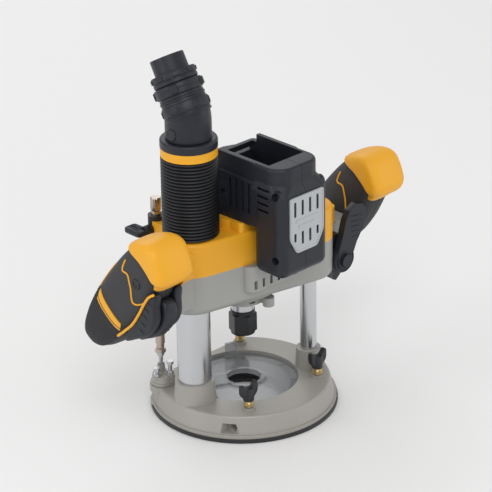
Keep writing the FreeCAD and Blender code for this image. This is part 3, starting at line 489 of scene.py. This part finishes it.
# ---- front of the left handle ---------------------------------------------------------
GUARD = [(-6.0, 113.0), (-21.0, 119.5), (-33.0, 125.5), (-41.5, 134.0), (-46.5, 145.0), (-46.5, 158.0),
         (-47.0, 169.0), (-36.0, 165.0), (-24.0, 145.0), (-10.0, 127.0)]
TRIGGER = [(-14.0, 114.0), (-24.0, 117.5), (-36.0, 124.0), (-45.0, 134.0), (-50.0, 146.0), (-49.0, 157.0),
           (-41.0, 160.0), (-33.0, 147.0), (-22.0, 131.0)]
SURROUND = [(-47.5, 171.0), (-40.5, 166.0), (-34.0, 157.0), (-27.5, 146.0), (-19.0, 134.0), (-9.0, 124.5),
            (1.0, 116.0)]


def guard_cheek(side):
    return pillow(GUARD, -HANDLE_X + side * 12.0, 4.5, 3.0, 0.28, 11)


def trigger_shape():
    blade = pillow(TRIGGER, -HANDLE_X, 7.0, 4.0, 0.25, 13)
    ridges = []
    for y, z in ((-36.6, 124.6), (-40.5, 128.4), (-43.9, 132.8), (-46.6, 137.8), (-48.6, 142.9),
                 (-49.6, 148.0)):
        ridges.append(swept([(-HANDLE_X + x, y - 0.1, z) for x in (-5.2, -2.6, 0.0, 2.6, 5.2)], 0.7, 8))
    return joined(blade, *ridges)


def build_left_front():
    piece("guard_cheeks", *joined(guard_cheek(-1), guard_cheek(1)), "housing_black", "head",
          ("left_handle_guard",))
    edges = []
    for side in (-1, 1):
        path = smooth_line([(-HANDLE_X + side * 17.2, y, z) for y, z in SURROUND], 6)
        edges.append(swept(path, 1.3, 12))
    piece("guard_surround", *joined(*edges), "yellow", "head")
    fins = []
    for i in range(5):
        y, z = -42.8 + i * 2.6, 158.5 - i * 7.4
        fins.append(swept([(-HANDLE_X - 16.4, y, z), (-HANDLE_X - 16.6, y + 3.2, z + 1.6),
                           (-HANDLE_X - 16.3, y + 6.4, z + 3.2)], 0.8, 8))
    piece("guard_fins", *joined(*fins), "housing_black", "head")
    piece("paddle_trigger", *trigger_shape(), "housing_black", "trigger_body", ("trigger",))
    face = rounded([(-34.0, 132.0), (-24.0, 132.0), (-24.0, 142.0), (-34.0, 142.0)], 2.4)
    cap = slab(face, lambda u, v, w: (-115.4 + w, u, v), 10.2)
    ribs = [swept([(-105.2, -32.0, z), (-105.1, -29.0, z), (-105.2, -26.0, z)], 0.5, 8) for z in (134.5,
            137.0, 139.5)]
    piece("lock_off_slider", *joined(cap, *ribs), "knob_black", "lock_off_button_body",
          ("lock_off_button",), bevel=0.6)
    boss = grip_point(0.80, 96.0)
    bowl = [(0.01, -0.6), (2.2, -0.6), (2.6, 0.4), (3.4, 0.8), (4.4, 0.7), (4.9, 0.0), (4.9, -2.0),
            (0.01, -2.0)]
    piece("grip_boss", *turned(bowl, boss, (-1.0, 0.0, 0.0), 48, closed=False), "housing_black", "head")
    bar = skin_patch([(0.475, 58.0), (0.475, 128.0), (0.525, 118.0), (0.525, 48.0)], 0.75, 24, 8)
    piece("grip_bar", *bar, "yellow", "head")
    rear = swept(skin_line([(0.70, 28.0), (0.62, 24.0), (0.54, 26.0), (0.46, 32.0)], 0.0, 8), 0.7, 10)
    mouths = []
    for turn in (52.0, 108.0):
        ring = [(0.135, turn - 16.0), (0.145, turn), (0.135, turn + 16.0), (0.105, turn + 17.0),
                (0.085, turn), (0.105, turn - 17.0), (0.135, turn - 16.0)]
        mouths.append(swept(skin_line(ring, 0.0, 5)[:-1], 0.6, 8, shut=True))
    piece("grip_piping", *joined(rear, *mouths), "yellow", "head")


# ---- dust path ----------------------------------------------------------------------
def build_bellows():
    low, high, pleats = 184.4, 257.6, 24
    pitch = (high - low) / pleats
    profile = [(20.2, low)]
    for i in range(pleats):
        z = low + i * pitch
        profile += [(22.7, z), (23.4, z + pitch * 0.2), (24.7, z + pitch * 0.36), (24.85, z + pitch * 0.5),
                    (24.7, z + pitch * 0.64), (23.4, z + pitch * 0.8)]
    profile += [(22.7, high), (20.2, high)]
    for i in range(1, pleats):
        profile.append((20.2, high - i * pitch))
    origin = (COLUMN_A[0], COLUMN_A[1], 0.0)
    sleeve = piece("pleated_sleeve", *turned(profile, origin), "bellows_rubber", None, ("bellows",),
                   keep_sharp=60.0)
    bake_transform(sleeve)


def spout_point(along):
    return Vector((COLUMN_A[0], COLUMN_A[1] + math.sin(TILT) * along, BEND_Z + math.cos(TILT) * along))


SPOUT_AXIS = (0.0, math.sin(TILT), math.cos(TILT))


def bent_tube(radius, foot, bend, top):
    """Rings up the column, round the knee and along the spout."""
    rings = [((0.0, 0.0, foot), 0.0)]
    knee = 9.0
    for i in range(9):
        angle = TILT * i / 8
        share = i / 8
        start = Vector((0.0, 0.0, bend - knee))
        end = Vector((0.0, math.sin(TILT) * knee, bend + math.cos(TILT) * knee))
        corner = Vector((0.0, 0.0, bend))
        spot = start.lerp(corner, share).lerp(corner.lerp(end, share), share)
        rings.append((tuple(spot), angle))
    rings.append(((0.0, math.sin(TILT) * top, bend + math.cos(TILT) * top), TILT))
    loops = []
    for (x, y, z), angle in rings:
        loop = []
        for i in range(SKIN):
            turn = 2 * math.pi * i / SKIN
            u, v = radius * math.cos(turn), radius * math.sin(turn)
            loop.append((COLUMN_A[0] + u, COLUMN_A[1] + y + v * math.cos(angle), z - v * math.sin(angle)))
        loops.append(loop)
    return loops


def around_spout(turn):
    """Directions out from the spout and along its rim at an angle."""
    side = Vector((math.cos(turn), 0.0, 0.0)) + Vector((0.0, math.cos(TILT),
                                                        -math.sin(TILT))) * math.sin(turn)
    return side, Vector(SPOUT_AXIS).cross(side).normalized()


def rim_pads(count, first, along, rows):
    """Raised pads round the spout. rows are (radius, width, height)."""
    pads = []
    for i in range(count):
        side, across = around_spout(math.radians(first + 360.0 * i / count))
        middle = spout_point(along)
        stack = []
        for out, wide, tall in rows:
            stack.append([middle + side * out + across * a * wide / 2 + Vector(SPOUT_AXIS) * b * tall / 2
                          for a, b in ((-1, -1), (1, -1), (1, 1), (-1, 1))])
        pads.append(loft(stack))
    return joined(*pads)


def build_elbow():
    outside = bent_tube(20.1, 274.0, BEND_Z, 9.0)
    inside = bent_tube(16.4, 274.0, BEND_Z, 9.0)
    wall = outside + inside[::-1]
    wall.append(wall[0])
    origin = (COLUMN_A[0], COLUMN_A[1], BEND_Z)
    steps = [(16.4, 9.0), (16.8, -3.4), (20.3, -3.4), (20.6, -2.8), (20.6, -1.6), (20.2, -1.2),
             (20.2, 0.0), (20.9, 0.5), (21.0, 1.2), (21.0, 7.8), (20.6, 8.8), (20.0, 9.0), (19.7, 9.4),
             (19.6, 11.4), (20.2, 12.0), (20.2, 13.4), (19.5, 14.0), (19.5, 16.0), (18.5, 16.2),
             (18.5, 26.2), (19.2, 26.5), (19.7, 27.2), (19.7, 30.0), (19.3, 30.3), (19.3, 30.9),
             (19.7, 31.2), (19.7, 35.4), (19.2, 36.3), (15.6, 36.6), (15.2, 37.2), (15.1, 49.9),
             (14.7, 50.5), (13.6, 50.5), (13.4, 30.0), (15.5, 12.0)]
    spout = turned(steps, origin, SPOUT_AXIS)
    piece("elbow_pipe", *joined(loft(wall, closed_ends=False), spout), "housing_black", "dust_elbow_body",
          ("dust_elbow",), keep_sharp=35.0)
    grips = rim_pads(8, 12.0, 33.2, ((19.4, 6.5, 4.2), (20.2, 6.0, 3.8), (20.5, 5.2, 3.0)))
    hoops = rim_pads(6, 20.0, 4.5, ((20.6, 8.0, 6.0), (21.4, 7.4, 5.4), (21.6, 6.4, 4.4)))
    piece("spout_grips", *joined(grips, hoops), "housing_black", "dust_elbow_body", bevel=0.3)
    ring = [(18.8, 16.7), (20.4, 16.7), (20.9, 17.4), (20.9, 20.6), (20.5, 21.0), (20.5, 21.6),
            (20.9, 22.0), (20.9, 25.0), (20.4, 25.8), (18.8, 25.8)]
    lugs = rim_pads(4, 40.0, 21.3, ((20.4, 6.4, 7.6), (22.0, 5.6, 6.8), (22.6, 4.2, 5.6)))
    piece("twist_collar", *joined(turned(ring, origin, SPOUT_AXIS), lugs), "housing_black",
          "locking_collar_body", ("locking_collar",), bevel=0.35)
    button = [(0.01, -0.8), (5.5, -0.8), (5.5, 0.2), (5.2, 0.7), (4.6, 0.8), (4.4, 0.5), (3.2, 0.5),
              (3.0, 0.8), (1.8, 0.8), (1.6, 0.5), (0.01, 0.5)]
    place = (COLUMN_A[0] - 20.2, COLUMN_A[1], 280.6)
    piece("swivel_button", *turned(button, place, (-1.0, 0.0, 0.0), 40, closed=False), "knob_black",
          "elbow_button_body", ("elbow_button",))


# ---- base ---------------------------------------------------------------------------
def build_return_spring():
    """The coil in the guide column."""
    low, high, travel = 20.0, 198.0, 55.0
    wire = swept([(COLUMN_B[0] + 4.0 * math.cos(math.pi * i / 8),
                   COLUMN_B[1] + 4.0 * math.sin(math.pi * i / 8),
                   low + 0.6 + (high - low - 1.2) * i / 704) for i in range(705)], 0.6, 6)
    spring = piece("return_coil", *wire, "spring_steel", "base", ("return_spring",))
    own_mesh(spring)


THUMB_SPOTS = {"front_left": (-41.5, -49.0), "front_right": (45.0, -49.0), "rear_right": (42.5, 49.0)}


def thumb_knob(spot):
    """A winged moulded knob, its two wings swept up from a round hub."""
    x, y = spot
    hub = turned([(0.01, 32.0), (4.6, 32.0), (5.0, 32.8), (5.0, 42.0), (4.2, 43.6), (0.01, 44.4)],
                 (x, y, 0.0), steps=40, closed=False)
    wings = []
    for side in (-1, 1):
        outline = [(2.5, 34.0), (5.5, 35.0), (8.6, 38.5), (9.6, 43.0), (9.4, 48.0), (8.2, 49.0),
                   (6.4, 48.4), (4.6, 45.6), (2.5, 43.6)]
        curve = smooth_line([(a, b, 0.0) for a, b in outline], 4, shut=True)
        rows = []
        for share, inset in ((-2.6, 0.86), (-2.2, 0.97), (0.0, 1.0), (2.2, 0.97), (2.6, 0.86)):
            rows.append([(x + side * (6.0 + (p.x - 6.0) * inset), y + share,
                          41.5 + (p.y - 41.5) * inset) for p in curve])
        wings.append(loft(rows))
    return joined(hub, *wings)


def coil(spot, radius, wire, low, high, turns):
    x, y = spot
    path = []
    for i in range(turns * 20 + 1):
        turn = 2 * math.pi * i / 20
        path.append((x + radius * math.cos(turn), y + radius * math.sin(turn),
                     low + (high - low) * i / (turns * 20)))
    return swept(path, wire, 8)


def build_thumbscrews():
    for name, spot in THUMB_SPOTS.items():
        body = "thumbscrew_" + name
        piece(body + "_wing", *thumb_knob(spot), "knob_black", body, ("thumbscrew_knob_" + name,))
        piece(body + "_spring", *coil(spot, 4.1, 0.45, 26.2, 31.4, 4), "brass", body)


# ---- controls -----------------------------------------------------------------------
def build_lever():
    x, z = LEVER_PIVOT
    hub = [(0.01, 40.9), (12.2, 40.9), (12.6, 41.6), (12.6, 47.4), (12.0, 48.6), (11.0, 49.0),
           (10.6, 48.2), (9.4, 48.2), (9.0, 49.4), (8.0, 49.8), (7.6, 49.0), (6.4, 49.0), (6.2, 50.0),
           (4.2, 50.1), (0.01, 50.1)]
    disc = turned(hub, (x, 0.0, z), (0.0, -1.0, 0.0), 64, closed=False)
    outline = [(70.5, 131.0), (92.0, 131.5), (96.5, 141.0), (103.0, 150.0), (108.0, 160.0), (108.5, 168.0),
               (103.0, 175.5), (96.0, 177.0), (87.0, 172.5), (82.0, 164.0), (78.0, 150.0)]
    plate = slab(outline, lambda u, v, w: (u, -49.2 + w, v), 6.8)
    beads = []
    for i in range(5):
        start = Vector((88.0 + i * 0.6, -49.3, 167.0 - i * 5.0))
        end = start + Vector((15.0 - i * 1.6, 0.0, -2.5))
        beads.append(swept([start, start.lerp(end, 0.5), end], 0.7, 8))
    piece("plunge_lever", *joined(disc, plate, *beads), "housing_black", "lock_lever_body",
          ("lock_lever",), bevel=0.7)


def build_depth_stop():
    x, y = DEPTH_ROD
    loops = []
    for z, radius in ((190.4, 4.3), (191.0, 4.6), (201.6, 4.6), (202.5, 4.0)):
        loop = []
        for i in range(72):
            turn = 2 * math.pi * i / 72
            r = radius + (0.2 if i % 4 < 2 else 0.0)
            loop.append((x + r * math.cos(turn), y + r * math.sin(turn), z))
        loops.append(loop)
    piece("depth_knob", *loft(loops), "bronze_rod", "depth_rod_knob_body", ("depth_rod_knob",),
          keep_sharp=30.0)


def build_paddle():
    x, y = DEPTH_ROD
    outline = rounded([(x - 24.0, y - 3.9), (x - 10.7, y - 3.9), (x - 10.7, y + 17.0),
                       (x - 24.0, y + 17.0)], 3.8)
    rows = []
    for z, inset in ((171.0, 0.9), (171.6, 0.98), (172.4, 1.0), (174.8, 1.0), (175.6, 0.97), (176.0, 0.9)):
        rows.append([(x - 17.3 + (u + 17.3 - x) * inset, y + 6.5 + (v - 6.5 - y) * inset, z) for u,
                     v in outline])
    ribs = []
    for i in range(5):
        across = y + 3.0 + i * 2.7
        ribs.append(swept([(x - 21.6, across, 175.9), (x - 17.3, across, 176.1),
                           (x - 13.0, across, 175.9)], 0.55, 8))
    stud = [(0.01, 4.8), (2.0, 4.8), (2.0, 10.4), (4.5, 10.6), (4.5, 14.6), (4.0, 15.2), (0.01, 15.2)]
    hub = turned(stud, (x, y, 174.0), (-1.0, 0.0, 0.0), 40, closed=False)
    piece("clamp_wing", *joined(loft(rows), hub, *ribs), "housing_black", "clamp_paddle_body",
          ("clamp_paddle",))


# ---- front plate ----------------------------------------------------------------------
PLATE = [(-20.5, 227.5), (20.5, 227.5), (20.5, 189.0), (12.5, 175.0), (-12.5, 175.0), (-20.5, 189.0)]


def build_plate():
    face, thick = -81.6, 1.5
    slots = []
    for i in range(4):
        middle = -14.2 + i * 9.0
        foot = 182.0 if 0 < i < 3 else 186.0
        for low, high in ((209.0, 223.0), (foot, 194.0)):
            slots.append(rounded([(middle - 1.3, low), (middle + 1.3, low), (middle + 1.3, high),
                                  (middle - 1.3, high)], 1.1, 4))
    sheet = pierced(rounded(PLATE, 3.0), slots, lambda u, v, w: (u, face + w, v), thick)
    inner = [(x * 0.93, 201.25 + (z - 201.25) * 0.945) for x, z in PLATE]
    rim = swept([(u, face, v) for u, v in rounded(inner, 2.6)], 0.55, 8, shut=True)
    bars = []
    for z, reach in ((204.4, 13.5), (199.0, 10.0)):
        bar = rounded([(-reach, z - 1.4), (reach, z - 1.4), (reach, z + 1.4), (-reach, z + 1.4)], 1.2)
        bars.append(slab(bar, lambda u, v, w: (u, face - 0.4 + w, v), 0.8))
    piece("front_plate", *joined(sheet, rim, *bars), "silver_grille", "head", ("grille_plate",),
          smooth=False, bevel=0.2)


aim_camera()
light_studio()
lay_floor()
mix_materials()
paint_frame()
build_handles()
build_bellows()
build_elbow()
build_return_spring()
build_thumbscrews()
build_lever()
build_depth_stop()
build_paddle()
build_left_front()
build_plate()
